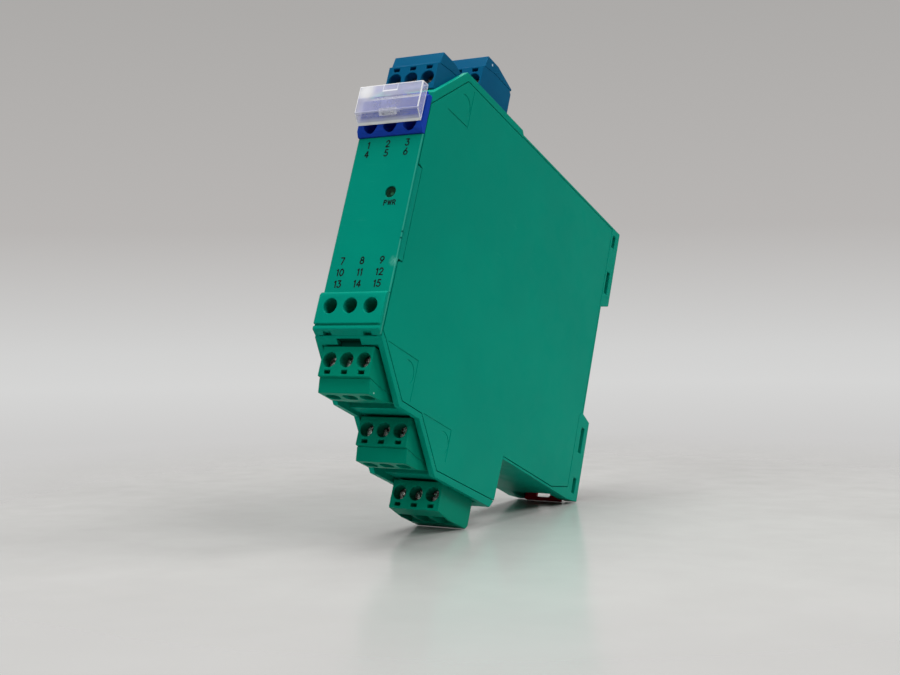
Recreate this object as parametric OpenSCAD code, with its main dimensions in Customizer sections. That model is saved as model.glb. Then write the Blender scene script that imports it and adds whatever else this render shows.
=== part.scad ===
// Narrow rail-mounted signal isolator: a flat case with stepped ends,
// plug-in screw terminals on the steps, a hinged clear label flap and
// a sliding rail latch. X runs along the rail, Y to the rail, Z up.
// The origin is the centre of the rail seat.

/* [Case] */

// Width of the case along the rail
body_w = 20; // [19.6:0.2:22]
// Thickness of the case walls
wall = 1.6; // [1.2:0.1:1.8]
// Thickness of the side cover
cover_t = 1.6; // [1.2:0.1:2]
// Width of the open line around the side cover
seam_gap = 0.2; // [0.1:0.05:0.3]
// Depth of the faint marks moulded in the side cover
mark_d = 0.15; // [0.1:0.05:0.3]
// Distance from the rail seat to the front edge of the walls
case_depth = 110.4; // [109.8:0.2:111]
// Height of the upper edge above the rail centre
top_z = 45.5; // [45.2:0.1:46]
// Reach of the feet behind the rail seat
foot_d = 4.8; // [4:0.1:5.4]
// Width of the slots in the sides of the feet
foot_slot_w = 2; // [1.4:0.1:2.2]

/* [Front] */

// Height of the step of the front blocks before the panel
block_step = 1.3; // [0.8:0.1:1.6]
// Radius of the test sockets in the front blocks
test_r = 2; // [1.5:0.1:2.3]
// Depth of the test sockets
test_depth = 5.8; // [4:0.1:6]
// Distance between the test sockets
test_pitch = 6; // [5.6:0.1:6.1]
// Radius of the lamp window
led_r = 1.55; // [1.2:0.05:1.8]
// Rounding of the upright edges of the panel
panel_round = 0.5; // [0.3:0.1:1]

/* [Plugs] */

// Free space between a plug and the case wall beside it
plug_clear = 0.78; // [0.6:0.02:0.9]
// Depth of a plug from its screw face
plug_d = 16.3; // [15.8:0.1:16.6]
// Radius of the screw wells
well_r = 1.95; // [1.85:0.05:2.05]
// Radius of the screw heads
head_r = 1.75; // [1.5:0.05:1.8]
// Width of the driver slot in a screw
slot_w = 0.6; // [0.4:0.05:0.8]
// Width of the small test openings beside the screws
probe_w = 1.85; // [1.4:0.05:2.2]
// Width of the wire entries in the hoods
entry_w = 3.6; // [3:0.1:3.8]
// Height of the wire entries in the hoods
entry_h = 3.2; // [2.6:0.1:3.4]

/* [Flap and latch] */

// Width of the clear label flap
flap_w = 19.4; // [18.4:0.2:19.8]
// Thickness of the clear plastic
flap_t = 0.6; // [0.5:0.05:0.8]
// Width of the rail latch
latch_w = 12; // [11:0.2:12.4]
// Thickness of the rail latch
latch_t = 1.8; // [1.4:0.1:2.4]
// Free space beside the moving pieces
slack = 0.3; // [0.25:0.05:0.35]

/* [Inside] */

// Thickness of the circuit board
board_t = 1.6; // [1:0.1:2]
// Width of the connector pins
pin_w = 0.9; // [0.7:0.05:1]

/* [Hidden] */

$fn = 48;
eps = 0.02;
half = body_w / 2;
inner = half - wall;
pitch = (inner - plug_clear) / 1.5;
cover_x = half - cover_t;
front_y = -case_depth;
panel_y = front_y - 0.6;
block_y = panel_y - block_step;
seat_half = 17.65;
foot_top = top_z - 1;
corner = 13.2;
// screw face and screw axis of each plug: three lower ones, then two upper ones
plug_y = [for (d = [1.4, 22.6, 42.9, 2.5, 23.2]) front_y + d];
plug_z = [-39.6, -50.7, -61.7, 38.5, 49.4];
// plug sizes along its own height, counted away from the case
p_near = -3.4;
p_ledge = 4.3;
p_base = 5.2;
p_far = 8.1;
shelf_u = -4.2;
head_y0 = 3.3;
head_y1 = 13.7;
pole_x = [-pitch, 0, pitch];
plug_half = 1.5 * pitch;
shelf = [for (i = [0:4]) i < 3 ? plug_z[i] - shelf_u : plug_z[i] + shelf_u];
back1 = plug_y[0] + plug_d + 0.5;
back2 = plug_y[1] + plug_d + 0.5;
back3 = plug_y[2] + plug_d + 0.8;
back4 = plug_y[3] + plug_d + 0.6;
step_z1 = -47.5;
step_z2 = -59.1;
notch_z = -44.8;
floor_z = -40;
room_back = -3.4;
front_gap = 0.18;
latch_y = 1.4;
wing_hi = 12.2;
wing_lo = -14.3;
panel_hi = 20.2;
panel_lo = -22.8;
pivot_y = block_y - 1.6;
pivot_z = 32.4;

// left normal of an edge, which points inward on an outline drawn anticlockwise
function edge_in(a, b) = [a[1] - b[1], b[0] - a[0]] / norm(b - a);

// outline moved inward by d, or outward when d is negative
function inset(p, d) = [for (i = [0:len(p) - 1])
  let (n = len(p), a = p[(i + n - 1) % n], b = p[i], c = p[(i + 1) % n],
       u = edge_in(a, b), v = edge_in(b, c)) b + d * (u + v) / (1 + u * v)];

// side view of the case, as (depth, height)
case_outline = [
  [front_y, -34.3], [front_y + 13.2, step_z1], [front_y + 22.7, step_z1], [front_y + 34.8, step_z2],
  [front_y + 64.6, step_z2], [front_y + 66.4, -56.6], [front_y + 67.2, notch_z],
  [-1.5, notch_z], [foot_d, -44], [foot_d, -19], [0, -seat_half], [0, seat_half], [foot_d, 19.6],
  [foot_d, foot_top], [front_y + 46.5, foot_top - 0.1], [front_y + 45.6, top_z],
  [front_y + corner, top_z], [front_y, top_z - corner],
  [front_y, wing_hi], [front_y + 2, wing_hi - 0.5], [front_y + 2, wing_lo + 0.5], [front_y, wing_lo]];

// outline of the side cover inside the rim
cover_outline = [
  [front_y + front_gap, -32.4], [front_y + 2.2, -34.1], [front_y + 13.9, -45.6], [front_y + 23.4, -45.7],
  [front_y + 35.3, -57.2], [front_y + 66.35, -56.7], [front_y + 67.15, -43.9],
  [-12.6, -43.9], [-2.6, -41.2], [-2.6, -19], [-0.9, -17],
  [-0.9, foot_top - 0.9], [front_y + 46.8, foot_top - 1],
  [front_y + 45.8, top_z - 2.2], [front_y + 14.5, top_z - 2.2], [front_y + front_gap, top_z - 16.6],
  [front_y + front_gap, wing_hi + 0.1], [front_y + 2.1, wing_hi - 0.4],
  [front_y + 2.1, wing_lo + 0.4], [front_y + front_gap, wing_lo - 0.1]];

// room inside the case
room_outline = [
  [front_y - 1, shelf[0] + wall], [back1 + wall, shelf[0] + wall], [back1 + wall, shelf[1] + wall],
  [back2 + wall, shelf[1] + wall], [back2 + wall, shelf[2] + wall], [front_y + 62.8, shelf[2] + wall],
  [front_y + 65.4, floor_z + wall], [room_back, floor_z + wall], [room_back, foot_top - wall],
  [front_y + 46, foot_top - wall], [front_y + 45.8, shelf[4] - wall], [back4 + wall, shelf[4] - wall],
  [back4 + wall, shelf[3] - wall], [front_y - 1, shelf[3] - wall]];

// side view raised along the rail from x0 to x1
module side(x0, x1) {
  translate([x0, 0, 0]) rotate([90, 0, 90]) linear_extrude(x1 - x0) children();
}

// box between two corners
module span(a, b) {
  translate(a) cube(b - a);
}

// cylinder along the depth axis
module bar_y(r, y0, y1) {
  translate([0, y0, 0]) rotate([-90, 0, 0]) cylinder(r = r, h = y1 - y0);
}

// cylinder along the rail axis
module bar_x(r, x0, x1) {
  translate([x0, 0, 0]) rotate([0, 90, 0]) cylinder(r = r, h = x1 - x0);
}

// rectangle with round corners about its centre
module round_rect(w, h, r) {
  square([w - 2 * r, h], center = true);
  square([w, h - 2 * r], center = true);
  for (sx = [-1, 1], sy = [-1, 1])
    translate([sx * (w / 2 - r), sy * (h / 2 - r)]) circle(r);
}

// plug coordinates: depth from the screw face, height away from the case
module plug_at(i) {
  translate([0, plug_y[i], plug_z[i]]) {
    if (i < 3) mirror([0, 0, 1]) children();
    else children();
  }
}

// faint mark of the side cover: two legs from a corner, one to the front by run and
// one up or down by rise, and an arc about the hub between them
module corner_mark(corner, run, rise, hub) {
  w = 0.3;
  step = rise > 0 ? w : -w;
  side(half - mark_d, half + 1) {
    translate(corner) polygon([[-run, 0], [0, 0], [0, rise], [-w, rise], [-w, step], [-run, step]]);
    translate(hub) intersection() {
      difference() {
        circle(3.1);
        circle(3.1 - w);
      }
      rotate(30) translate([0.5, -4]) square(8);
    }
  }
}

module foot_slots() {
  for (z = [[38.2, 42.3], [22.6, 29.9], [-29.6, -21.7], [-42.2, -37.5]])
    for (s = [-1, 1])
      span([s * half - 1.7, 0.4, z[0]], [s * half + 1.7, 0.4 + foot_slot_w, z[1]]);
}

// openings in the case for the plugs and their headers
module plug_bays() {
  span([-inner, front_y - 5, -70], [inner, front_y + 3.2 + eps, shelf[0] - 0.3]);
  span([-inner, front_y + 3.2, -70], [inner, back1, shelf[0]]);
  span([-3.5, front_y - 1, -70], [3.5, front_y + 2.6, shelf[0] + 0.9]);
  span([-inner, front_y - 5, -70], [inner, back2, shelf[1]]);
  span([-inner, front_y - 5, -70], [inner, back3, shelf[2]]);
  span([-inner, front_y - 5, shelf[3]], [inner, back4, 70]);
  span([-inner, front_y - 5, shelf[4]], [inner, front_y + 44.4, 70]);
  for (i = [0:4])
    plug_at(i) span([-plug_half + 0.12, head_y0 - 0.05, -12], [plug_half - 0.12, head_y1 + 0.05, 0]);
}

// channel of the rail latch with its two guide grooves, and the way for a driver blade before it
module latch_channel() {
  w = latch_w / 2 + slack;
  span([-w, latch_y - slack, -50], [w, foot_d + 1, -15.5]);
  span([-w, -0.5, -20], [w, foot_d + 1, -15.5]);
  span([-w - 0.9, latch_y + 0.2, -44], [w + 0.9, latch_y + latch_t - 0.2, -20.4]);
  span([-w, -6.5, -50], [w, latch_y, floor_z]);
}

module housing_shell() {
  color("#00806a") {
    difference() {
      union() {
        side(-half, cover_x) polygon(case_outline);
        side(cover_x - 0.4, half) difference() {
          polygon(case_outline);
          polygon(inset(cover_outline, -seam_gap));
        }
      }
      side(-inner, cover_x) polygon(room_outline);
      plug_bays();
      latch_channel();
      span([-inner, -1.6, 15.5], [inner, foot_d - 1.4, 34]);
      span([-inner, -0.8, 35.6], [inner, foot_d - 1.4, foot_top - 2]);
      foot_slots();
    }
    // fixed hook over the upper edge of the rail
    side(-6, 6) polygon([[1.4, 16], [2.2, 15.6], [3.2, 16.2], [3.2, 22], [foot_d - 0.8, 24],
      [foot_d - 0.8, 34.5], [1.6, 34.5], [1.4, 19]]);
  }
}

module side_cover() {
  color("#00806a") difference() {
    side(cover_x, half) polygon(cover_outline);
    corner_mark([front_y + 18.2, 31.5], 10.4, 10.8, [front_y + 14.6, 36.3]);
    corner_mark([front_y + 17.4, -34], 14.2, -11, [front_y + 13.5, -38.4]);
    corner_mark([front_y + 38.5, -45.5], 14.3, -8.7, [front_y + 35.2, -50]);
  }
}

module front_panel() {
  color("#168c76") difference() {
    union() {
      translate([0, 0, panel_lo]) linear_extrude(panel_hi - panel_lo) difference() {
        translate([0, panel_y + 2]) round_rect(body_w, 4, panel_round);
        translate([-half - 1, front_y - eps]) square([body_w + 2, 6]);
      }
      span([-inner + 0.05, front_y - 0.1, panel_lo], [inner - 0.05, front_y + 1.9, panel_hi]);
      span([-half, front_y - 0.1, wing_lo + 0.55], [half, front_y + 1.95, wing_hi - 0.55]);
    }
    translate([3.7, 0, 4.4]) bar_y(led_r, panel_y - 1, front_y + 4);
  }
}

module status_led() {
  color("#0c4a3c") translate([3.7, 0, 4.4]) {
    bar_y(led_r - 0.06, panel_y + 0.35, front_y + 2.2);
    bar_y(led_r + 0.5, front_y + 2, front_y + 3);
  }
}

// three round test sockets of a front block
module test_sockets(z) {
  for (k = [-1, 0, 1])
    translate([k * test_pitch, 0, z]) bar_y(test_r, block_y - 1, block_y + test_depth);
}

module lower_block() {
  color("#0b8069") difference() {
    union() {
      side(-half + 0.05, half - 0.05) polygon([
        [block_y, panel_lo - 0.9], [block_y + 0.5, panel_lo - 0.06],
        [front_y - eps, panel_lo - 0.06], [front_y - eps, -33.9], [block_y + 1.7, -33.8],
        [block_y + 0.1, -32.8], [block_y + 0.1, -31.9], [block_y + 0.6, -31.9],
        [block_y + 0.6, -31.4], [block_y, -31.4]]);
      span([-inner + 0.05, front_y - 0.1, -28.9], [inner - 0.05, front_y + 4.4, panel_lo - 0.06]);
      span([-inner + 0.05, front_y - 0.1, shelf[0] + wall + 0.05], [inner - 0.05, front_y + 2.6, -28.8]);
    }
    test_sockets(-26.7);
    for (s = [-1, 1])
      span([s * 6 - 1.1, block_y - 1, -34.5], [s * 6 + 1.1, front_y + 1.4, -33]);
  }
}

module upper_block() {
  color("#1c3e96") {
    difference() {
      union() {
        side(-half + 0.05, half - 0.05) polygon([
          [block_y, 30.3], [block_y + 0.5, 30.9], [front_y - eps, 30.9], [front_y - eps, panel_hi + 0.06],
          [block_y + 0.9, panel_hi + 0.06], [block_y, 21.7]]);
        span([-inner + 0.05, front_y - 0.1, panel_hi + 0.06], [inner - 0.05, front_y + 4.4, 27.8]);
        span([-inner + 0.05, front_y - 0.1, 27.7], [inner - 0.05, front_y + 3.4, shelf[3] - wall - 0.05]);
      }
      test_sockets(23);
    }
    // lug that carries the pivot of the flap
    difference() {
      union() {
        translate([0, pivot_y, pivot_z]) bar_x(0.8, -1.7, 1.7);
        span([-1.7, pivot_y, pivot_z - 0.8], [1.7, front_y, pivot_z + 0.2]);
        span([-1.7, block_y + 0.6, 30.5], [1.7, front_y, pivot_z - 0.7]);
      }
      translate([0, pivot_y, pivot_z]) bar_x(0.55, -3, 3);
    }
  }
}

module label_flap() {
  y0 = block_y - 3;
  y1 = block_y - 0.5;
  color([0.86, 0.87, 0.93, 0.45]) {
    difference() {
      side(-flap_w / 2, flap_w / 2) polygon([[y1, 33], [y0, 33], [y0, 25.4], [y1, 22.9]]);
      side(-flap_w / 2 + flap_t, flap_w / 2 - flap_t) polygon([
        [y1 + 1, 33 - flap_t], [y0 + flap_t, 33 - flap_t],
        [y0 + flap_t, 25.4 + flap_t / 2], [y1 + 1, 21.8 + flap_t]]);
      span([-2.05, y0 + flap_t / 2, 31.1], [2.05, y1 + 1, 34]);
    }
    translate([0, pivot_y, pivot_z]) bar_x(0.35, -2.9, 2.9);
    for (s = [-1, 1])
      span([s * 2.55 - 0.5, y0 + flap_t - eps, 31.9], [s * 2.55 + 0.5, pivot_y + 0.5, 32.9]);
    rib = flap_w / 2 - flap_t + eps;
    span([-rib, y0 + flap_t - eps, 29], [rib, y0 + flap_t + 0.4, 29.4]);
    // snap hook near the lower rim
    span([-2.6, y0 + flap_t - eps, 25.9], [2.6, y1, 26.4]);
    span([-1.9, y0 + flap_t - eps, 24.9], [1.9, y1 - 0.3, 25.5]);
  }
}

module din_latch() {
  w = latch_w / 2;
  color("#8c1420") difference() {
    union() {
      translate([0, latch_y, 0]) side(-w, w) polygon([
        [0, -44.8], [latch_t, -44.8], [latch_t, -16.6], [latch_t - 0.8, -15.8], [0, -16.2]]);
      span([-w - 0.9, latch_y + 0.5, -40], [w + 0.9, latch_y + latch_t - 0.5, -24]);
    }
    translate([0, -1, -42.7]) rotate([-90, 0, 0]) linear_extrude(6) round_rect(5, 2.4, 0.8);
  }
}

module circuit_board() {
  color("#1f5a30") side(-3.2, -3.2 + board_t) polygon([
    [front_y + 7.4, -26.4], [front_y + 22.4, -26.4], [front_y + 22.4, -38], [front_y + 43.4, -38],
    [front_y + 43.4, -38.35], [room_back - 0.05, -38.35], [room_back - 0.05, 41],
    [front_y + 44.4, 41], [front_y + 44.4, 36],
    [front_y + 21.4, 36], [front_y + 21.4, 26], [front_y + 7.4, 26]]);
}

module transformer() {
  x = -3.2 + board_t + 0.02;
  y = front_y + 48.4;
  color("#3a3530") difference() {
    span([x, y, -8], [x + 8, y + 20, 12]);
    span([x + 1.6, y + 3.5, -9], [x + 9, y + 16.5, -4.6]);
    span([x + 1.6, y + 3.5, 8.6], [x + 9, y + 16.5, 13]);
  }
}

module capacitors() {
  x = -3.2 + board_t + 0.02;
  color("#30343c") for (p = [[80.4, 20], [80.4, 8], [88.4, -18]])
    translate([0, front_y + p[0], p[1]]) bar_x(4, x, x + 8.5);
}

module couplers() {
  x = -3.2 + board_t + 0.02;
  color("#202020") for (z = [-24, -12, 4, 18])
    span([x, front_y + 30.4, z - 3], [x + 3.4, front_y + 37.4, z + 3]);
}

module coils() {
  x = -3.2 + board_t + 0.02;
  color("#8a5a30") for (z = [-16, 20])
    translate([0, front_y + 16.4, z]) difference() {
      bar_x(5, x, x + 5);
      bar_x(2.2, x - 1, x + 6);
    }
}

// socket that takes the tongue of a plug
module header(i, tint) {
  hole = pin_w / 2 + eps;
  color(tint) plug_at(i) difference() {
    span([-plug_half + 0.17, head_y0, -10.6], [plug_half - 0.17, head_y1, shelf_u]);
    span([-plug_half + 0.57, head_y0 + 0.4, -9], [plug_half - 0.57, head_y1 - 0.4, shelf_u + 1]);
    for (x = pole_x)
      translate([x, 8.3, 0]) span([-hole, -hole, -12], [hole, hole, -8]);
  }
}

module pins(i) {
  color("#c8c4b4") plug_at(i) for (x = pole_x)
    span([x - pin_w / 2, 8.3 - pin_w / 2, -12.4], [x + pin_w / 2, 8.3 + pin_w / 2, -4.9]);
}

module plug_body(i, tint) {
  color(tint) plug_at(i) difference() {
    union() {
      side(-plug_half, plug_half) polygon([
        [0, p_near], [plug_d, p_near], [plug_d, p_base - 1], [plug_d - 1, p_base],
        [6.4, p_base], [0, p_ledge]]);
      span([-plug_half + 0.87, head_y0 + 0.7, -8.4], [plug_half - 0.87, head_y1 - 0.7, p_near + eps]);
    }
    for (x = pole_x) translate([x, 0, 0]) {
      bar_y(well_r, -1, 4);
      bar_y(1.25, 3.9, 4.6);
      span([-1.9, 4.5, -2.4], [1.9, 11.2, p_base + 1]);
      span([-probe_w / 2, -1, 2.65], [probe_w / 2, 3.6, 3.65]);
      span([-1.3, 6.9, -9], [1.3, 10, -2.3]);
    }
  }
}

// wire entry hood below the screw face
module hood(i, tint) {
  color(tint) plug_at(i) difference() {
    side(-plug_half, plug_half) polygon([
      [0.9, 4.43 + eps], [6.4, p_base + eps], [plug_d - 0.1, p_base + eps], [plug_d - 0.1, 5.8],
      [7.4, p_far], [1.6, p_far]]);
    for (x = pole_x)
      translate([x, 4.8, 0]) linear_extrude(20) round_rect(entry_w, entry_h, 1.1);
  }
}

module screws(i) {
  color("#b8b4a8") plug_at(i) for (x = pole_x) translate([x, 0, 0]) difference() {
    union() {
      bar_y(head_r, 2.7, 4);
      bar_y(1.15, 3.9, 7.4);
    }
    rotate([0, 35 + x * 9, 0]) span([-slot_w / 2, 1, -3], [slot_w / 2, 3.4, 3]);
  }
}

module clamps(i) {
  color("#c0bcae") plug_at(i) for (x = pole_x) translate([x, 0, 0]) difference() {
    span([-1.8, 4.7, -2.38], [1.8, 10.6, 2.9]);
    span([-1.15, 5.8, -3], [1.15, 9.6, 4]);
    bar_y(1.22, 4, 6.5);
  }
}

module contacts(i) {
  color("#c9b878") plug_at(i) for (x = pole_x) translate([x, 0, 0]) difference() {
    span([-1.25, 7, -8], [1.25, 9.95, -2.42]);
    span([-0.75, 6, -9], [0.75, 9.3, -3.4]);
  }
}

green = "#067a63";
blue = "#1a5c86";

housing_shell();
side_cover();
front_panel();
status_led();
lower_block();
upper_block();
circuit_board();
transformer();
capacitors();
couplers();
coils();
header(0, green);  // header_g1
header(1, green);  // header_g2
header(2, green);  // header_g3
header(3, blue);  // header_b1
header(4, blue);  // header_b2
pins(0);  // pins_g1
pins(1);  // pins_g2
pins(2);  // pins_g3
pins(3);  // pins_b1
pins(4);  // pins_b2
label_flap();
din_latch();
plug_body(0, green);  // plug_g1
hood(0, green);  // hood_g1
screws(0);  // screws_g1
clamps(0);  // clamps_g1
contacts(0);  // contacts_g1
plug_body(1, green);  // plug_g2
hood(1, green);  // hood_g2
screws(1);  // screws_g2
clamps(1);  // clamps_g2
contacts(1);  // contacts_g2
plug_body(2, green);  // plug_g3
screws(2);  // screws_g3
clamps(2);  // clamps_g3
contacts(2);  // contacts_g3
plug_body(3, blue);  // plug_b1
hood(3, blue);  // hood_b1
screws(3);  // screws_b1
clamps(3);  // clamps_b1
contacts(3);  // contacts_b1
plug_body(4, blue);  // plug_b2
hood(4, blue);  // hood_b2
screws(4);  // screws_b2
clamps(4);  // clamps_b2
contacts(4);  // contacts_b2
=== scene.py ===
import math

import bpy
import numpy as np
from mathutils import Matrix, Vector


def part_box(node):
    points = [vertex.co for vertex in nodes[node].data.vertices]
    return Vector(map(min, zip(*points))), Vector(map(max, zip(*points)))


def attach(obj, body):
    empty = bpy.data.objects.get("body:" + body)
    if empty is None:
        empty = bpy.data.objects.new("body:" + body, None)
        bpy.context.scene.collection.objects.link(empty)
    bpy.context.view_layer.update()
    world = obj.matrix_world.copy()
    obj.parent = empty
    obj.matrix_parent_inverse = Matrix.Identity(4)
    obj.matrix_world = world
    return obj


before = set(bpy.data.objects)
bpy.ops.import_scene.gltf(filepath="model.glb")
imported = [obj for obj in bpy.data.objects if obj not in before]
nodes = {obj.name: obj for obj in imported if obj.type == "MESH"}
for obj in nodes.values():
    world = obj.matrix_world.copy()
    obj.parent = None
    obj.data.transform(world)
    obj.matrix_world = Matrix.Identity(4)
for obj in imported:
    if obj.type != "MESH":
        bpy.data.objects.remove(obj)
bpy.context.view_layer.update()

scene = bpy.context.scene
mm = 0.001
print("frame loaded:", len(nodes), "nodes")


# camera, at the photograph's place
photoCamera = {
    "place": (0.201643, -0.372773, -0.133765),
    "right": (0.852030, 0.489984, 0.184284),
    "down": (-0.001018, 0.353578, -0.935405),
    "forward": (-0.523492, 0.796805, 0.301758),
    "lens": 56.63, "sensor": 36.0, "clip": (0.01, 20.0),
}


def addCamera(look):
    data = bpy.data.cameras.new("photoCamera")
    data.lens = look["lens"]
    data.sensor_width = look["sensor"]
    data.clip_start, data.clip_end = look["clip"]
    camera = bpy.data.objects.new("photoCamera", data)
    turned = np.eye(4)
    turned[:3, 0] = look["right"]
    turned[:3, 1] = -np.array(look["down"])
    turned[:3, 2] = -np.array(look["forward"])
    turned[:3, 3] = look["place"]
    camera.matrix_world = Matrix(turned.tolist())
    scene.collection.objects.link(camera)
    scene.camera = camera


addCamera(photoCamera)
print("camera set")


# a socket of a node tree; arithmetic on it adds Math nodes
class Wire:
    def __init__(self, tree, socket=None):
        self.tree = tree
        self.socket = socket

    # any node: its type, its settings, then values or links for its sockets
    def node(self, kind, settings=None, sockets=None, out=0):
        made = self.tree.nodes.new("ShaderNode" + kind)
        for key, value in (settings or {}).items():
            if key == "stops":
                ramp = made.color_ramp.elements
                while len(ramp) < len(value):
                    ramp.new(1.0)
                for stop, (at, colour) in zip(ramp, value):
                    stop.position, stop.color = at, colour
            else:
                setattr(made, key, value)
        for key, value in (sockets or {}).items():
            if isinstance(value, Wire):
                self.tree.links.new(value.socket, made.inputs[key])
            else:
                made.inputs[key].default_value = value
        return Wire(self.tree, made.outputs[out])

    def maths(self, operation, first, second=0.0):
        return self.node("Math", {"operation": operation}, {0: first, 1: second})

    def __add__(self, other):
        return self.maths("ADD", self, other)

    __radd__ = __add__

    def __mul__(self, other):
        return self.maths("MULTIPLY", self, other)

    __rmul__ = __mul__

    def __sub__(self, other):
        return self.maths("SUBTRACT", self, other)

    def __rsub__(self, other):
        return self.maths("SUBTRACT", other, self)

    def __pow__(self, other):
        return self.maths("POWER", self, other)

    def __abs__(self):
        return self.maths("ABSOLUTE", self)

    # 0 below low, 1 above high, smooth between
    def step(self, low, high):
        return self.node("MapRange", {"interpolation_type": "SMOOTHSTEP"},
                         {"Value": self, "From Min": low, "From Max": high})

    # 1 where this lies from low to high, else 0
    def between(self, low, high):
        return self.maths("GREATER_THAN", self, low) * self.maths("LESS_THAN", self, high)

    # colour where this is 0, then where it is 1
    def mix(self, whereZero, whereOne):
        return self.node("Mix", {"data_type": "RGBA"}, {0: self, 6: whereZero, 7: whereOne}, 2)

    # noise on this place vector, about one blob per 1/scale metres
    def noise(self, scale, detail=2.0, rough=0.5, warp=0.0):
        return self.node("TexNoise", None, {"Vector": self, "Scale": scale, "Detail": detail,
                                            "Roughness": rough, "Distortion": warp})

    # patches of such a noise: 0 up to the first limit, 1 past the second
    def patches(self, noise, limits):
        return self.noise(*noise).step(*limits)

    # this place vector turned and stretched
    def laid(self, turn=(0, 0, 0), size=(1, 1, 1)):
        return self.node("Mapping", None, {"Vector": self, "Rotation": turn, "Scale": size})

    # x, y and z of this place in millimetres, from a start given in metres
    def axes(self, start=(0, 0, 0)):
        apart = self.node("SeparateXYZ", None, {"Vector": self}).socket.node
        return [(Wire(self.tree, out) - begin) * (1 / mm) for out, begin in zip(apart.outputs, start)]

    # metres from this place to a point
    def distance(self, point):
        return self.node("VectorMath", {"operation": "DISTANCE"}, {0: self, 1: point}, "Value")

    # 1 near a point of the part, up to the core's share of the radius, 0 outside it; millimetres
    def spot(self, at, radius, core):
        away = self.distance([v * mm for v in at])
        return 1 - away.step(radius * core * mm, radius * mm)


def rgb(red, green, blue):
    return (red, green, blue, 1.0)


# a material with a Principled shader; fixed values go on its own sockets
def startMaterial(name, fixed):
    made = bpy.data.materials.new(name)
    made.use_nodes = True
    tree = made.node_tree
    tree.nodes.clear()
    out = tree.nodes.new("ShaderNodeOutputMaterial")
    shader = tree.nodes.new("ShaderNodeBsdfPrincipled")
    tree.links.new(shader.outputs[0], out.inputs["Surface"])
    for key, value in fixed.items():
        shader.inputs[key].default_value = value
    place = Wire(tree).node("TexCoord", None, None, "Object")
    return made, shader, place


def feed(shader, wires):
    for key, wire in wires.items():
        wire.tree.links.new(wire.socket, shader.inputs[key])


# relief as its depth in metres and its strength
def bump(height, relief):
    depth, strength = relief
    return height.node("Bump", None, {"Height": height, "Distance": depth, "Strength": strength})


# in all looks below, a noise is its scale, detail, roughness and distortion
panelMarks = {
    "scuff": (9.3, -111.0, -14.5), "scuffRadius": 1.9, "scuffCore": 0.05, "scuffShare": 0.75,
    "broken": (900.0, 4.0, 0.7), "brokenLimits": (0.36, 0.66), "brokenSize": (1, 1, 0.6),
    "nicks": [(9.75, -110.8, -6.7), (9.75, -110.8, -8.4)], "nickRadius": 0.45, "nickCore": 0.2,
    # the edge entries paint a pale highlight line along the right front edge
    "edge": (-0.45, -0.20), "highlightDeep": (0.10, 0.25), "highlightShare": 0.30,
    "pale": rgb(0.13, 0.46, 0.36), "dark": rgb(0.0, 0.075, 0.055),
}


# the rubbed corner, a pale painted highlight line and two nicks on the right front edge of the panel
def panelWearAndHighlight(place, colour):
    marks = panelMarks
    broken = place.laid(size=marks["brokenSize"]).patches(marks["broken"], marks["brokenLimits"])
    rubbed = place.spot(marks["scuff"], marks["scuffRadius"], marks["scuffCore"]) * broken
    colour = (rubbed * marks["scuffShare"]).mix(colour, marks["pale"])
    low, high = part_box("front_panel")
    x, y = place.axes((high.x, low.y, low.z))[:2]
    # painted highlight: a pale line along the panel's right front edge
    edge = x.step(*marks["edge"]) * (1 - abs(y).step(*marks["highlightDeep"]))
    colour = (edge * marks["highlightShare"]).mix(colour, marks["pale"])
    for at in marks["nicks"]:
        colour = place.spot(at, marks["nickRadius"], marks["nickCore"]).mix(colour, marks["dark"])
    return colour


# painted shade for the pocket over the first plug: a box in millimetres and its dark colour
recessShade = {"box": [(-3.5, 3.5), (-109.9, -107.4), (-37.0, -34.3)], "colour": rgb(0.0002, 0.050, 0.032)}


# painted shade: the pocket over the first plug made darker
def recessPaintedShade(place, colour):
    x, y, z = [axis.between(*limits) for axis, limits in zip(place.axes(), recessShade["box"])]
    return (x * y * z).mix(colour, recessShade["colour"])


plastics = {
    "case_green": {
        "colour": rgb(0.0004, 0.268, 0.184), "deep": rgb(0.0002, 0.254, 0.176),
        "sheen": rgb(0.10, 1.0, 0.80), "rough": 0.40, "wearAndPaintedLight": recessPaintedShade},
    "panel_green": {
        "colour": rgb(0.0008, 0.272, 0.190), "deep": rgb(0.0004, 0.248, 0.178),
        "sheen": rgb(0.15, 1.0, 0.82), "rough": 0.36, "wearAndPaintedLight": panelWearAndHighlight},
    "plug_green": {
        "colour": rgb(0.0004, 0.220, 0.138), "deep": rgb(0.0002, 0.200, 0.128),
        "sheen": rgb(0.12, 1.0, 0.75), "rough": 0.40,
        "chip": {"at": (7.62, -105.5, -46.85), "radius": 0.32, "colour": rgb(0.30, 0.58, 0.48)}},
    "plug_blue": {
        "colour": rgb(0.0030, 0.100, 0.205), "deep": rgb(0.0020, 0.088, 0.190),
        "sheen": rgb(0.20, 0.75, 1.0), "rough": 0.38,
        "chip": {"at": (7.62, -82.9, 56.2), "radius": 0.45, "colour": rgb(0.50, 0.66, 0.78)}},
    "block_blue": {
        "colour": rgb(0.0120, 0.058, 0.420), "deep": rgb(0.0100, 0.052, 0.385),
        "sheen": rgb(0.25, 0.45, 1.0), "rough": 0.36},
    "latch_red": {
        "colour": rgb(0.4200, 0.004, 0.018), "deep": rgb(0.3600, 0.003, 0.014),
        "sheen": rgb(1.0, 0.12, 0.12), "rough": 0.36},
}
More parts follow.
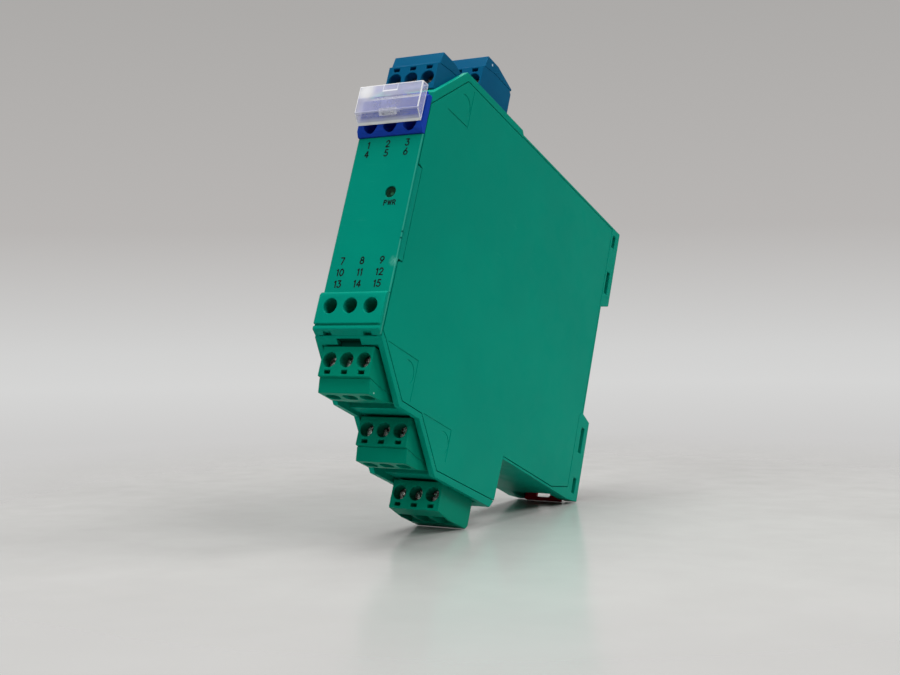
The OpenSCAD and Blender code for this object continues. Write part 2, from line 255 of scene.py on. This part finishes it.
moulding = {
    "index": 1.09, "gloss": 1.0,
    "cloud": (38.0, 3.0), "cloudLimits": (0.35, 0.65),
    "handling": (130.0, 4.0, 0.6, 0.6), "handlingLimits": (0.38, 0.68), "handlingRough": 0.10,
    "worn": (60.0, 2.0), "wornLimits": (0.56, 0.72),
    "scratchTurn": (0.6, 0.3, 0.2), "scratchSize": (60, 55, 700), "scratch": (1.0, 1.0),
    "scratchLevel": 0.5, "scratchWidth": 0.010, "scratchShare": 0.16, "scratchSmooth": 0.3,
    "palerTimes": 1.25, "palerBy": 0.03, "chipCore": 0.4,
    "grain": (2600.0, 2.0), "grainShare": 0.6, "fine": (9000.0, 1.0), "fineShare": 0.4,
    "relief": (0.000012, 0.5),
}


# moulded plastic: slow clouding of the colour, handling marks in the gloss,
# a fine spark-eroded grain in the relief, and a few faint scratches
def mouldedPlastic(name, look):
    made, shader, place = startMaterial(name, {
        "IOR": moulding["index"], "Specular IOR Level": moulding["gloss"], "Specular Tint": look["sheen"]})
    cloud = place.patches(moulding["cloud"], moulding["cloudLimits"])
    handled = place.patches(moulding["handling"], moulding["handlingLimits"])
    worn = place.patches(moulding["worn"], moulding["wornLimits"])
    lines = place.laid(moulding["scratchTurn"], moulding["scratchSize"]).noise(*moulding["scratch"])
    lines = 1 - abs(lines - moulding["scratchLevel"]).step(0.0, moulding["scratchWidth"])
    scratch = lines * worn * moulding["scratchShare"]
    pale = [min(1.0, v * moulding["palerTimes"] + moulding["palerBy"]) for v in look["colour"][:3]]
    colour = scratch.mix(cloud.mix(look["colour"], look["deep"]), rgb(*pale))
    # wear and painted light: painted shade in the case's pocket, wear and a painted highlight line on the
    # panel
    if "wearAndPaintedLight" in look:
        colour = look["wearAndPaintedLight"](place, colour)
    if "chip" in look:
        chip = look["chip"]
        colour = place.spot(chip["at"], chip["radius"], moulding["chipCore"]).mix(colour, chip["colour"])
    grain = place.noise(*moulding["grain"]) * moulding["grainShare"]
    fine = place.noise(*moulding["fine"]) * moulding["fineShare"]
    smooth = look["rough"] - moulding["handlingRough"] / 2
    feed(shader, {
        "Base Color": colour,
        "Roughness": handled * moulding["handlingRough"] + smooth - scratch * moulding["scratchSmooth"],
        "Normal": bump(grain + fine, moulding["relief"]),
    })
    return made


clearLook = {
    "index": 1.5, "gloss": 0.7,
    "tint": rgb(0.70, 0.71, 0.95), "edge": rgb(1.0, 1.0, 1.0), "haze": 0.26, "rim": 0.52, "blend": 0.35,
    "dull": (220.0, 4.0, 0.6), "dullLimits": (0.35, 0.75), "dullAlpha": 0.08,
    "rough": 0.08, "dullRough": 0.12, "wave": (900.0, 2.0), "relief": (0.00001, 0.3),
    "streak": (1.0, 2.0), "streakLimits": (0.55, 0.75), "streakAlpha": 0.05,
    "streakTurn": (0, 0.5, 0), "streakSize": (350, 350, 2600),
    # painted highlights: edges where two outer faces meet turn white and opaque
    "line": (0.12, 0.32), "twoFaces": (1.2, 1.9), "edgeHighlightAlpha": 0.95, "frontLipEdge": 0.25,
    # painted highlight along the lower back edge
    "footHighlightLine": (0.20, 0.75), "footHighlightAlpha": 0.60,  # bright line along the lower back edge
    "slant": -0.005,  # change of alpha per millimetre to the right
    "face": (0.3, 0.6),  # the front wall ends here
    "upper": (6.4, 6.9), "upperAlpha": 0.22, "upperPale": 0.3,  # above the rib the face is greyer
    "frontLip": 2.5,  # the slanted lower lip rises this much from the back rim to the front
    "lipFade": (0.7, 1.5), "lipAlpha": 0.40, "lipPale": 0.4,  # up to here the lip is pale
    # painted highlights on the ribs behind the face
    "ribs": [  # across, deep and tall, then how much of it shows
        ((-9.3, 9.3), (0.60, 1.05), (5.95, 6.60), 0.75),
        ((-2.7, 2.7), (0.62, 2.50), (1.85, 3.60), 0.80),
        ((-2.3, 2.3), (-0.1, 0.7), (8.0, 8.4), 0.45),
        ((-2.3, -2.05), (-0.1, 0.7), (8.4, 10.2), 0.25),
        ((2.05, 2.3), (-0.1, 0.7), (8.4, 10.2), 0.25)],
    # painted highlight: a pale patch on the upper left of the face
    "highlightPatch": (-7.4, 8.6), "highlightPatchRadii": (0.2, 3.6), "highlightPatchAlpha": 0.30,
}


# clear plastic gone a little hazy: more of it shows at glancing angles and on the slanted lip,
# with painted highlights in a pale patch, on the ribs behind the face, along the lower back edge and where
# two outer faces meet
def clearPlastic(name, look):
    made, shader, place = startMaterial(name, {"IOR": look["index"], "Specular IOR Level": look["gloss"]})
    glance = place.node("LayerWeight", None, {"Blend": look["blend"]}, "Facing")
    dull = place.patches(look["dull"], look["dullLimits"])
    streak = place.laid(look["streakTurn"], look["streakSize"]).patches(look["streak"], look["streakLimits"])
    low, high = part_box("label_flap")
    width, depth, height = [(b - a) / mm for a, b in zip(low, high)]
    x, y, z = place.axes((0, low.y, low.z))
    lip = 1 - (z + y - look["frontLip"]).step(*look["line"])
    gaps = (width / 2 - abs(x), y, depth - y, height - z)
    faces = [1 - gap.step(*look["line"]) for gap in gaps]
    # painted highlight where two outer faces meet
    edge = sum(faces, lip).step(*look["twoFaces"])
    edge = edge * (1 - lip * faces[1] * (1 - look["frontLipEdge"]))
    # painted highlight along the lower back edge
    foot = lip * (1 - (depth - y).step(*look["footHighlightLine"]))
    lip = lip * (1 - z.step(*look["lipFade"]))
    rib = 0.0
    # painted highlights on the ribs
    for across, deep, tall, shown in look["ribs"]:
        rib = x.between(*across) * y.between(*deep) * z.between(*tall) * shown + rib
    # painted highlight patch
    highlightX, highlightZ = look["highlightPatch"]
    away = (abs(x - highlightX) ** 2.0 + abs(z - highlightZ) ** 2.0) ** 0.5
    face = 1 - y.step(*look["face"])
    highlightPatch = (1 - away.step(*look["highlightPatchRadii"])) * face
    upper = z.step(*look["upper"]) * face
    # where the painted highlights and the lip's haze turn the tint white
    pale = edge + rib + foot + lip * look["lipPale"] + highlightPatch + upper * look["upperPale"]
    alpha = glance * (look["rim"] - look["haze"]) + (look["haze"] - look["dullAlpha"] / 2)
    alpha = alpha + dull * look["dullAlpha"] + streak * look["streakAlpha"] + edge * look["edgeHighlightAlpha"] + rib
    alpha = alpha + lip * look["lipAlpha"] + highlightPatch * look["highlightPatchAlpha"] + upper * look["upperAlpha"]
    alpha = alpha + foot * look["footHighlightAlpha"] + x * look["slant"]
    feed(shader, {
        "Base Color": pale.step(0.0, 1.0).mix(look["tint"], look["edge"]),
        "Alpha": alpha,
        "Roughness": dull * look["dullRough"] + look["rough"],
        "Normal": bump(place.noise(*look["wave"]), look["relief"]),
    })
    return made


lampLook = {
    "fixed": {"IOR": 1.49, "Specular IOR Level": 0.1, "Coat Weight": 0.08, "Coat Roughness": 0.05},
    "colour": rgb(0.001, 0.030, 0.013), "heart": rgb(0.001, 0.008, 0.003), "pale": rgb(0.02, 0.150, 0.075),
    "axis": (3.7, -110.6, 4.4), "heartRadius": 1.1, "heartCore": 0.3,
    "cloud": (1800.0, 2.0), "cloudLimits": (0.25, 0.6),
    "glint": (4.2, -110.6, 4.0), "glintRadius": 0.75, "glintCore": 0.1, "glintLimits": (0.3, 0.6),
    "ripple": (2400.0, 1.0), "rough": 0.10, "rippleRough": 0.1, "relief": (0.00002, 0.3),
}


# lamp window: dark green lens, darker at its heart, with a small pale glint
def lampLens(name, look):
    made, shader, place = startMaterial(name, look["fixed"])
    heart = place.spot(look["axis"], look["heartRadius"], look["heartCore"])
    heart = heart * place.patches(look["cloud"], look["cloudLimits"])
    ripple = place.noise(*look["ripple"])
    glint = place.spot(look["glint"], look["glintRadius"], look["glintCore"])
    glint = glint * ripple.step(*look["glintLimits"])
    feed(shader, {
        "Base Color": glint.mix(heart.mix(look["colour"], look["heart"]), look["pale"]),
        "Roughness": ripple * look["rippleRough"] + look["rough"],
        "Normal": bump(ripple, look["relief"]),
    })
    return made


metals = {
    # the steel's nearly black dull patches are partly tarnish, partly painted shade of the deep screw wells
    "steel": {"colour": rgb(0.96, 0.94, 0.90), "dull": rgb(0.035, 0.032, 0.026), "rough": 0.18,
              "limits": (0.37, 0.55)},
    "tinned": {"colour": rgb(0.68, 0.67, 0.62), "dull": rgb(0.45, 0.44, 0.40), "rough": 0.30,
               "limits": (0.42, 0.66)},
    "brass": {"colour": rgb(0.72, 0.56, 0.25), "dull": rgb(0.46, 0.33, 0.14), "rough": 0.28,
              "limits": (0.42, 0.66)},
}
plating = {
    "dull": (900.0, 4.0, 0.6), "dullRough": 0.22,
    "drawnSize": (5200, 900, 5200), "drawn": (1.0, 2.0), "drawnRough": 0.12, "relief": (0.000008, 0.5),
}


# plated metal: bright with dull patches and fine drawn lines
def platedMetal(name, look):
    made, shader, place = startMaterial(name, {"Metallic": 1.0})
    dull = place.patches(plating["dull"], look["limits"])
    drawn = place.laid(size=plating["drawnSize"]).noise(*plating["drawn"])
    smooth = look["rough"] - plating["drawnRough"] / 2
    feed(shader, {
        "Base Color": dull.mix(look["colour"], look["dull"]),
        "Roughness": dull * plating["dullRough"] + drawn * plating["drawnRough"] + smooth,
        "Normal": bump(drawn, plating["relief"]),
    })
    return made


boardLook = {
    "index": 1.5, "turn": (0, math.pi / 2, 0), "rowOffset": 0.5,
    "tracks": {"Scale": 180.0, "Mortar Size": 0.06, "Color1": rgb(0.012, 0.120, 0.040),
               "Color2": rgb(0.014, 0.132, 0.045), "Mortar": rgb(0.030, 0.190, 0.070)},
    "weave": (1600.0, 2.0), "rough": 0.28, "weaveRough": 0.2, "relief": (0.00001, 0.4),
}


# laminate board: solder mask over straight tracks
def boardLaminate(name, look):
    made, shader, place = startMaterial(name, {"IOR": look["index"]})
    turned = place.laid(look["turn"])
    tracks = turned.node("TexBrick", {"offset": look["rowOffset"]}, {"Vector": turned, **look["tracks"]})
    weave = place.noise(*look["weave"])
    feed(shader, {
        "Base Color": tracks,
        "Roughness": weave * look["weaveRough"] + look["rough"],
        "Normal": bump(weave, look["relief"]),
    })
    return made


bodies = {
    "ferrite": {"colour": rgb(0.045, 0.040, 0.036), "deep": rgb(0.030, 0.027, 0.025), "rough": 0.60,
                "speck": 1400.0},
    "can": {"colour": rgb(0.030, 0.034, 0.045), "deep": rgb(0.022, 0.025, 0.034), "rough": 0.35,
            "speck": 500.0},
    "chip": {"colour": rgb(0.014, 0.014, 0.015), "deep": rgb(0.020, 0.020, 0.021), "rough": 0.50,
             "speck": 2000.0},
}
pressing = {"index": 1.5, "detail": 3.0, "limits": (0.4, 0.65), "speckRough": 0.15,
            "finer": 2, "finerDetail": 2.0, "relief": (0.00002, 0.5)}


# pressed or cast dark body: speckled, matt
def pressedBody(name, look):
    made, shader, place = startMaterial(name, {"IOR": pressing["index"]})
    speck = place.patches((look["speck"], pressing["detail"]), pressing["limits"])
    finer = place.noise(look["speck"] * pressing["finer"], pressing["finerDetail"])
    feed(shader, {
        "Base Color": speck.mix(look["colour"], look["deep"]),
        "Roughness": speck * pressing["speckRough"] + look["rough"],
        "Normal": bump(finer, pressing["relief"]),
    })
    return made


copperLook = {
    "metal": 0.8, "colour": rgb(0.62, 0.26, 0.10), "deep": rgb(0.30, 0.11, 0.04),
    "turns": {"Scale": 900.0, "Distortion": 0.5}, "rough": 0.3, "turnRough": 0.15, "relief": (0.00004, 0.6),
}


# wound copper: bands of wire side by side
def woundCopper(name, look):
    made, shader, place = startMaterial(name, {"Metallic": look["metal"]})
    turns = place.node("TexWave", {"bands_direction": "X"}, {"Vector": place, **look["turns"]}, "Fac")
    feed(shader, {
        "Base Color": turns.mix(look["deep"], look["colour"]),
        "Roughness": turns * look["turnRough"] + look["rough"],
        "Normal": bump(turns, look["relief"]),
    })
    return made


finishes = {name: mouldedPlastic(name, look) for name, look in plastics.items()}
finishes.update({name: platedMetal(name, look) for name, look in metals.items()})
finishes.update({name: pressedBody(name, look) for name, look in bodies.items()})
finishes["clear"] = clearPlastic("clear", clearLook)
finishes["lamp_lens"] = lampLens("lamp_lens", lampLook)
finishes["board"] = boardLaminate("board", boardLook)
finishes["copper"] = woundCopper("copper", copperLook)

for node in nodes.values():
    for slot in node.material_slots:
        slot.material = finishes[slot.material.name.split(".")[0]]
print("finishes:", len(finishes))


edgeRadius = {  # millimetres, by a node's name or the first word of it
    "housing_shell": 0.14, "side_cover": 0.07, "front_panel": 0.14, "lower_block": 0.20, "upper_block": 0.12,
    "label_flap": 0.10, "din_latch": 0.14, "plug": 0.20, "hood": 0.16, "screws": 0.08, "header": 0.06,
}
softening = {"joined": 1e-6, "flatAngle": 0.01, "segments": 2, "sharpAngle": 0.6, "weight": 50}


# joins the loose triangles, makes flat faces whole, then rounds the sharp edges
def softenEdges(node, radius):
    weld = node.modifiers.new("joined", "WELD")
    weld.merge_threshold = softening["joined"]
    flat = node.modifiers.new("wholeFaces", "DECIMATE")
    flat.decimate_type = "DISSOLVE"
    flat.angle_limit = softening["flatAngle"]
    edge = node.modifiers.new("roundedEdges", "BEVEL")
    edge.width = radius * mm
    edge.segments = softening["segments"]
    edge.limit_method = "ANGLE"
    edge.angle_limit = softening["sharpAngle"]
    edge.use_clamp_overlap = False
    even = node.modifiers.new("evenShading", "WEIGHTED_NORMAL")
    even.weight = softening["weight"]
    even.keep_sharp = False


for name, node in nodes.items():
    radius = edgeRadius.get(name) or edgeRadius.get(name.split("_")[0])
    if radius:
        softenEdges(node, radius)
print("edges softened")


# a mesh object at the origin, from points in metres
def addObject(name, points, faces, material):
    mesh = bpy.data.meshes.new(name)
    mesh.from_pydata(points.tolist(), [], faces)
    mesh.materials.append(material)
    mesh.update()
    made = bpy.data.objects.new(name, mesh)
    scene.collection.objects.link(made)
    return made


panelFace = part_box("front_panel")[0].y / mm
printLook = {
    "height": 1.75, "stroke": 0.36, "ink": 0.02, "gap": 0.30,
    "rows": [(18.1, "1 2 3"), (15.5, "4 5 6"),
             (-14.2, "7 8 9"), (-17.3, "10 11 12"), (-20.4, "13 14 15")],
    "columns": (-6.2, -0.25, 5.7),
    "lampWord": {"text": "PWR", "x": 4.2, "z": 1.4, "height": 1.25, "stroke": 0.31},
    "endAngles": (4, 30, 60), "narrowest": 0.002,  # points of a stroke's round end, and its least share
    "fixed": {"IOR": 1.3, "Specular IOR Level": 0.2},
    "colour": rgb(0.004, 0.010, 0.010), "faded": rgb(0.010, 0.032, 0.028),
    "thin": (2600.0, 3.0, 0.6), "thinLimits": (0.48, 0.72), "rough": 0.42, "thinRough": 0.15,
    "relief": (0.000006, 0.5),
}


def line(*points):
    return np.array(points, float)


# points of an ellipse arc: centre plus radii times cosine and sine, angles in degrees
def arc(cx, cy, rx, ry, start, end, count=14):
    turn = np.radians(np.linspace(start, end, count))
    return np.stack([cx + rx * np.cos(turn), cy + ry * np.sin(turn)], 1)


# a closed ellipse, from its top
def ring(cx, cy, rx, ry, count):
    return arc(cx, cy, rx, ry, 90, 450, count)


# the stem and the bow that two letters share
bowed = [line((0.0, 0.0), (0.0, 1.0), (0.30, 1.0)), arc(0.30, 0.74, 0.26, 0.26, 90, -90),
         line((0.30, 0.48), (0.0, 0.48))]

# strokes of each sign, one high; the last number is the sign's width
signs = {
    "0": ([ring(0.31, 0.5, 0.30, 0.5, 28)], 0.62),
    "1": ([line((0.02, 0.80), (0.20, 1.0), (0.20, 0.0))], 0.24),
    "2": ([np.vstack([arc(0.30, 0.72, 0.27, 0.28, 170, -35), line((0.02, 0.0), (0.60, 0.0))])], 0.62),
    "3": ([line((0.04, 1.0), (0.52, 1.0), (0.26, 0.60)), arc(0.26, 0.30, 0.30, 0.30, 90, -150, 20)], 0.58),
    "4": ([line((0.44, 0.0), (0.44, 1.0), (0.0, 0.28), (0.62, 0.28))], 0.62),
    "5": ([np.vstack([line((0.54, 1.0), (0.14, 1.0), (0.10, 0.52)),
                      arc(0.26, 0.32, 0.31, 0.31, 112, -145, 20)])], 0.58),
    "6": ([line((0.44, 1.0), (0.07, 0.46)), ring(0.31, 0.30, 0.30, 0.30, 26)], 0.62),
    "7": ([line((0.0, 1.0), (0.56, 1.0), (0.18, 0.0))], 0.56),
    "8": ([ring(0.30, 0.77, 0.22, 0.23, 24), ring(0.30, 0.27, 0.29, 0.27, 26)], 0.60),
    "9": ([line((0.18, 0.0), (0.55, 0.54)), ring(0.31, 0.70, 0.30, 0.30, 26)], 0.62),
    "P": (bowed, 0.58),
    "W": ([line((0.0, 1.0), (0.24, 0.0), (0.46, 1.0), (0.68, 0.0), (0.92, 1.0))], 0.92),
    "R": (bowed + [line((0.28, 0.48), (0.58, 0.0))], 0.60),
}


# a flat strip carried along a path: left and right of each point by half the
# stroke, and past both ends by a half circle, root of (1 - (past / half)^2)
def inkStrip(path, half, thick):
    legs = np.linalg.norm(np.diff(path, axis=0), axis=1)
    along = np.concatenate([[0], np.cumsum(legs)])
    total = along[-1]
    ends = half * np.cos(np.radians(printLook["endAngles"]))
    inside = np.unique(np.concatenate([along, np.linspace(0, total, max(2, int(total / half)))]))
    where = np.concatenate([-ends, inside, total + ends[::-1]])
    held = np.clip(where, 0, total)
    point = np.stack([np.interp(held, along, path[:, k]) for k in (0, 1)], 1)
    firstWay = (path[1] - path[0]) / legs[0]
    lastWay = (path[-1] - path[-2]) / legs[-1]
    point += np.minimum(where, 0)[:, None] * firstWay + np.maximum(where - total, 0)[:, None] * lastWay
    past = np.abs(where - held) / half
    width = half * np.sqrt(np.maximum(1 - past ** 2, printLook["narrowest"]))
    way = np.gradient(point, axis=0)
    way /= np.linalg.norm(way, axis=1)[:, None]
    left = np.stack([-way[:, 1], way[:, 0]], 1) * width[:, None]
    flat = np.stack([point + left, point - left, point - left, point + left], 1)
    sides = np.array([thick, thick, -thick, -thick])[None, :, None]
    rings = np.concatenate([flat, np.broadcast_to(sides, flat.shape[:2] + (1,))], 2)
    count = len(point)
    corner = np.arange(4)
    start = np.arange(count - 1)[:, None] * 4
    first = start + corner
    second = start + (corner + 1) % 4
    quads = np.stack([first, second, second + 4, first + 4], 2).reshape(-1, 4)
    caps = np.stack([corner[::-1], 4 * (count - 1) + corner])
    return rings.reshape(-1, 3), np.vstack([quads, caps])


# strips of a word centred on (x, z), as points of the panel's front
def inkWord(word, x, z, height, stroke):
    gap = printLook["gap"]
    total = sum(signs[sign][1] for sign in word) + gap * (len(word) - 1)
    at, found = -total / 2, []
    for sign in word:
        strokes, width = signs[sign]
        corner = np.array([x + at * height, z - height / 2])
        for path in strokes:
            flat, faces = inkStrip(path * height + corner, stroke / 2, printLook["ink"])
            found.append((np.stack([flat[:, 0], panelFace - flat[:, 2], flat[:, 1]], 1), faces))
        at += width + gap
    return found


# one object of all strips
def joinStrips(name, strips, material):
    points, faces, start = [], [], 0
    for where, quads in strips:
        points.append(where * mm)
        faces.append(quads + start)
        start += len(where)
    return addObject(name, np.vstack(points), np.vstack(faces).tolist(), material)


# screen ink: almost black, thin and paler in places
def screenInk(name, look):
    made, shader, place = startMaterial(name, look["fixed"])
    thin = place.patches(look["thin"], look["thinLimits"])
    feed(shader, {
        "Base Color": thin.mix(look["colour"], look["faded"]),
        "Roughness": thin * look["thinRough"] + look["rough"],
        "Normal": bump(thin, look["relief"]),
    })
    return made


def printPanel(look):
    ink = screenInk("print_ink", look)
    strips = []
    for z, row in look["rows"]:
        for x, word in zip(look["columns"], row.split()):
            strips += inkWord(word, x, z, look["height"], look["stroke"])
    word = look["lampWord"]
    strips += inkWord(word["text"], word["x"], word["z"], word["height"], word["stroke"])
    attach(joinStrips("panel_print", strips, ink), "case")


printPanel(printLook)
print("panel printed")


# the part leans back on its lowest plug and its rear foot, so the floor is tilted in its frame
floorLook = {
    "tilt": 21.82, "centreY": -30.0, "reach": 0.32, "rings": 12, "spokes": 72, "solid": 0.11, "fade": 0.28,
    "fixed": {"IOR": 1.5, "Specular IOR Level": 0.70},
    "colour": rgb(0.525, 0.520, 0.505), "mottle": rgb(0.490, 0.485, 0.470),
    "cloud": (14.0, 4.0, 0.55), "cloudLimits": (0.35, 0.7),
    "rough": 0.11, "worn": (90.0, 3.0), "wornRough": 0.12,
}
lean = math.radians(floorLook["tilt"])
floorUp = np.array([0.0, -math.sin(lean), math.cos(lean)])
floorBack = np.array([0.0, math.cos(lean), math.sin(lean)])
floorSide = np.array([1.0, 0.0, 0.0])


def nodePoints(node):
    flat = np.zeros(len(node.data.vertices) * 3, np.float32)
    node.data.vertices.foreach_get("co", flat)
    return flat.reshape(-1, 3).astype(float)


floorLevel = min((nodePoints(node) @ floorUp).min() for node in nodes.values())
start = np.array([0.0, floorLook["centreY"] * mm, 0.0])
floorCentre = start + floorUp * (floorLevel - start @ floorUp)


def paleFloor(name, look):
    made, shader, place = startMaterial(name, look["fixed"])
    cloud = place.patches(look["cloud"], look["cloudLimits"])
    feed(shader, {
        "Base Color": cloud.mix(look["colour"], look["mottle"]),
        "Roughness": place.noise(*look["worn"]) * look["wornRough"] + look["rough"],
        "Alpha": 1 - place.distance(tuple(floorCentre)).step(look["solid"], look["fade"]),
    })
    return made


# a round floor: radius times cosine and sine of the angle, in the floor's plane
def addFloor(look):
    rings, spokes = look["rings"], look["spokes"]
    radii = np.linspace(0, 1, rings + 1)[1:, None] * look["reach"]
    turns = np.linspace(0, 2 * math.pi, spokes, endpoint=False)
    side = (radii * np.cos(turns))[..., None] * floorSide
    back = (radii * np.sin(turns))[..., None] * floorBack
    points = np.vstack([floorCentre[None], (floorCentre + side + back).reshape(-1, 3)])
    step = np.arange(spokes)
    inner = 1 + np.arange(rings - 1)[:, None] * spokes + step
    outer = inner + spokes
    quads = np.stack([inner, outer, np.roll(outer, -1, 1), np.roll(inner, -1, 1)], 2)
    hub = np.stack([np.zeros(spokes, int), 1 + step, 1 + np.roll(step, -1)], 1)
    faces = hub.tolist() + quads.reshape(-1, 4).tolist()
    floor = addObject("floor", points, faces, paleFloor("pale_floor", look))
    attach(floor, "plug_g3")  # the part stands on this plug, so the floor goes down when it is drawn


addFloor(floorLook)

backdrop = {  # linear greys over the sine of the height angle
    "low": -0.30, "high": 0.30,
    "stops": [(0.0, rgb(0.61, 0.60, 0.585)), (0.36, rgb(0.61, 0.605, 0.60)),
              (0.42, rgb(0.665, 0.665, 0.66)), (0.46, rgb(0.64, 0.64, 0.635)),
              (0.60, rgb(0.48, 0.465, 0.455)), (0.85, rgb(0.415, 0.405, 0.395))],
    "light": rgb(0.95, 0.98, 1.0), "strength": 0.08,
    "mirrored": 0.7,  # how much of the bright wall shows in gloss
}


# a grey wall that is seen, and shows in gloss, with a weak even light from all sides
def addBackdrop(look):
    world = bpy.data.worlds.new("studio")
    world.use_nodes = True
    tree = world.node_tree
    tree.nodes.clear()
    wire = Wire(tree)
    way = wire.node("TexCoord")
    height = wire.node("VectorMath", {"operation": "DOT_PRODUCT"}, {0: way, 1: tuple(floorUp)}, "Value")
    share = wire.node("MapRange", None, {"Value": height, "From Min": look["low"], "From Max": look["high"]})
    grey = wire.node("ValToRGB", {"stops": look["stops"]}, {"Fac": share})
    seen = wire.node("Background", None, {"Color": grey})
    fill = wire.node("Background", None, {"Color": look["light"], "Strength": look["strength"]})
    eye = wire.node("LightPath", None, None, "Is Camera Ray")
    gloss = wire.node("LightPath", None, None, "Is Glossy Ray")
    both = wire.node("MixShader", None, {0: eye + gloss * look["mirrored"], 1: fill, 2: seen})
    out = tree.nodes.new("ShaderNodeOutputWorld")
    tree.links.new(both.socket, out.inputs["Surface"])
    scene.world = world


addBackdrop(backdrop)

lampAim = (0, 0, 0.06)
lamps = [  # place as (side, back, up) from the floor's centre, in metres, as the aim is
    {"name": "overhead", "place": (-0.10, -0.02, 1.00), "size": 0.70, "watts": 9.1},
    {"name": "front", "place": (-0.20, -1.20, 0.75), "size": 0.70, "watts": 6.1},
    {"name": "right_back", "place": (1.05, 0.75, 1.40), "size": 0.70, "watts": 13.9},
    {"name": "right_front", "place": (1.25, -0.30, 1.35), "size": 0.70, "watts": 11.3},
    {"name": "back_fill", "place": (-0.45, 0.60, 1.00), "size": 0.50, "watts": 1.8},
]


def floorPoint(side, back, up):
    return floorCentre + floorSide * side + floorBack * back + floorUp * up


def addLamp(look):
    data = bpy.data.lights.new(look["name"], "AREA")
    data.shape, data.size, data.energy = "DISK", look["size"], look["watts"]
    lamp = bpy.data.objects.new(look["name"], data)
    place, aim = floorPoint(*look["place"]), floorPoint(*lampAim)
    lamp.location = place.tolist()
    lamp.rotation_euler = Vector((aim - place).tolist()).to_track_quat("-Z", "Y").to_euler()
    lamp.visible_camera = False
    scene.collection.objects.link(lamp)


for look in lamps:
    addLamp(look)
scene.view_settings.view_transform = "Standard"
print("floor, backdrop and", len(lamps), "lights set")
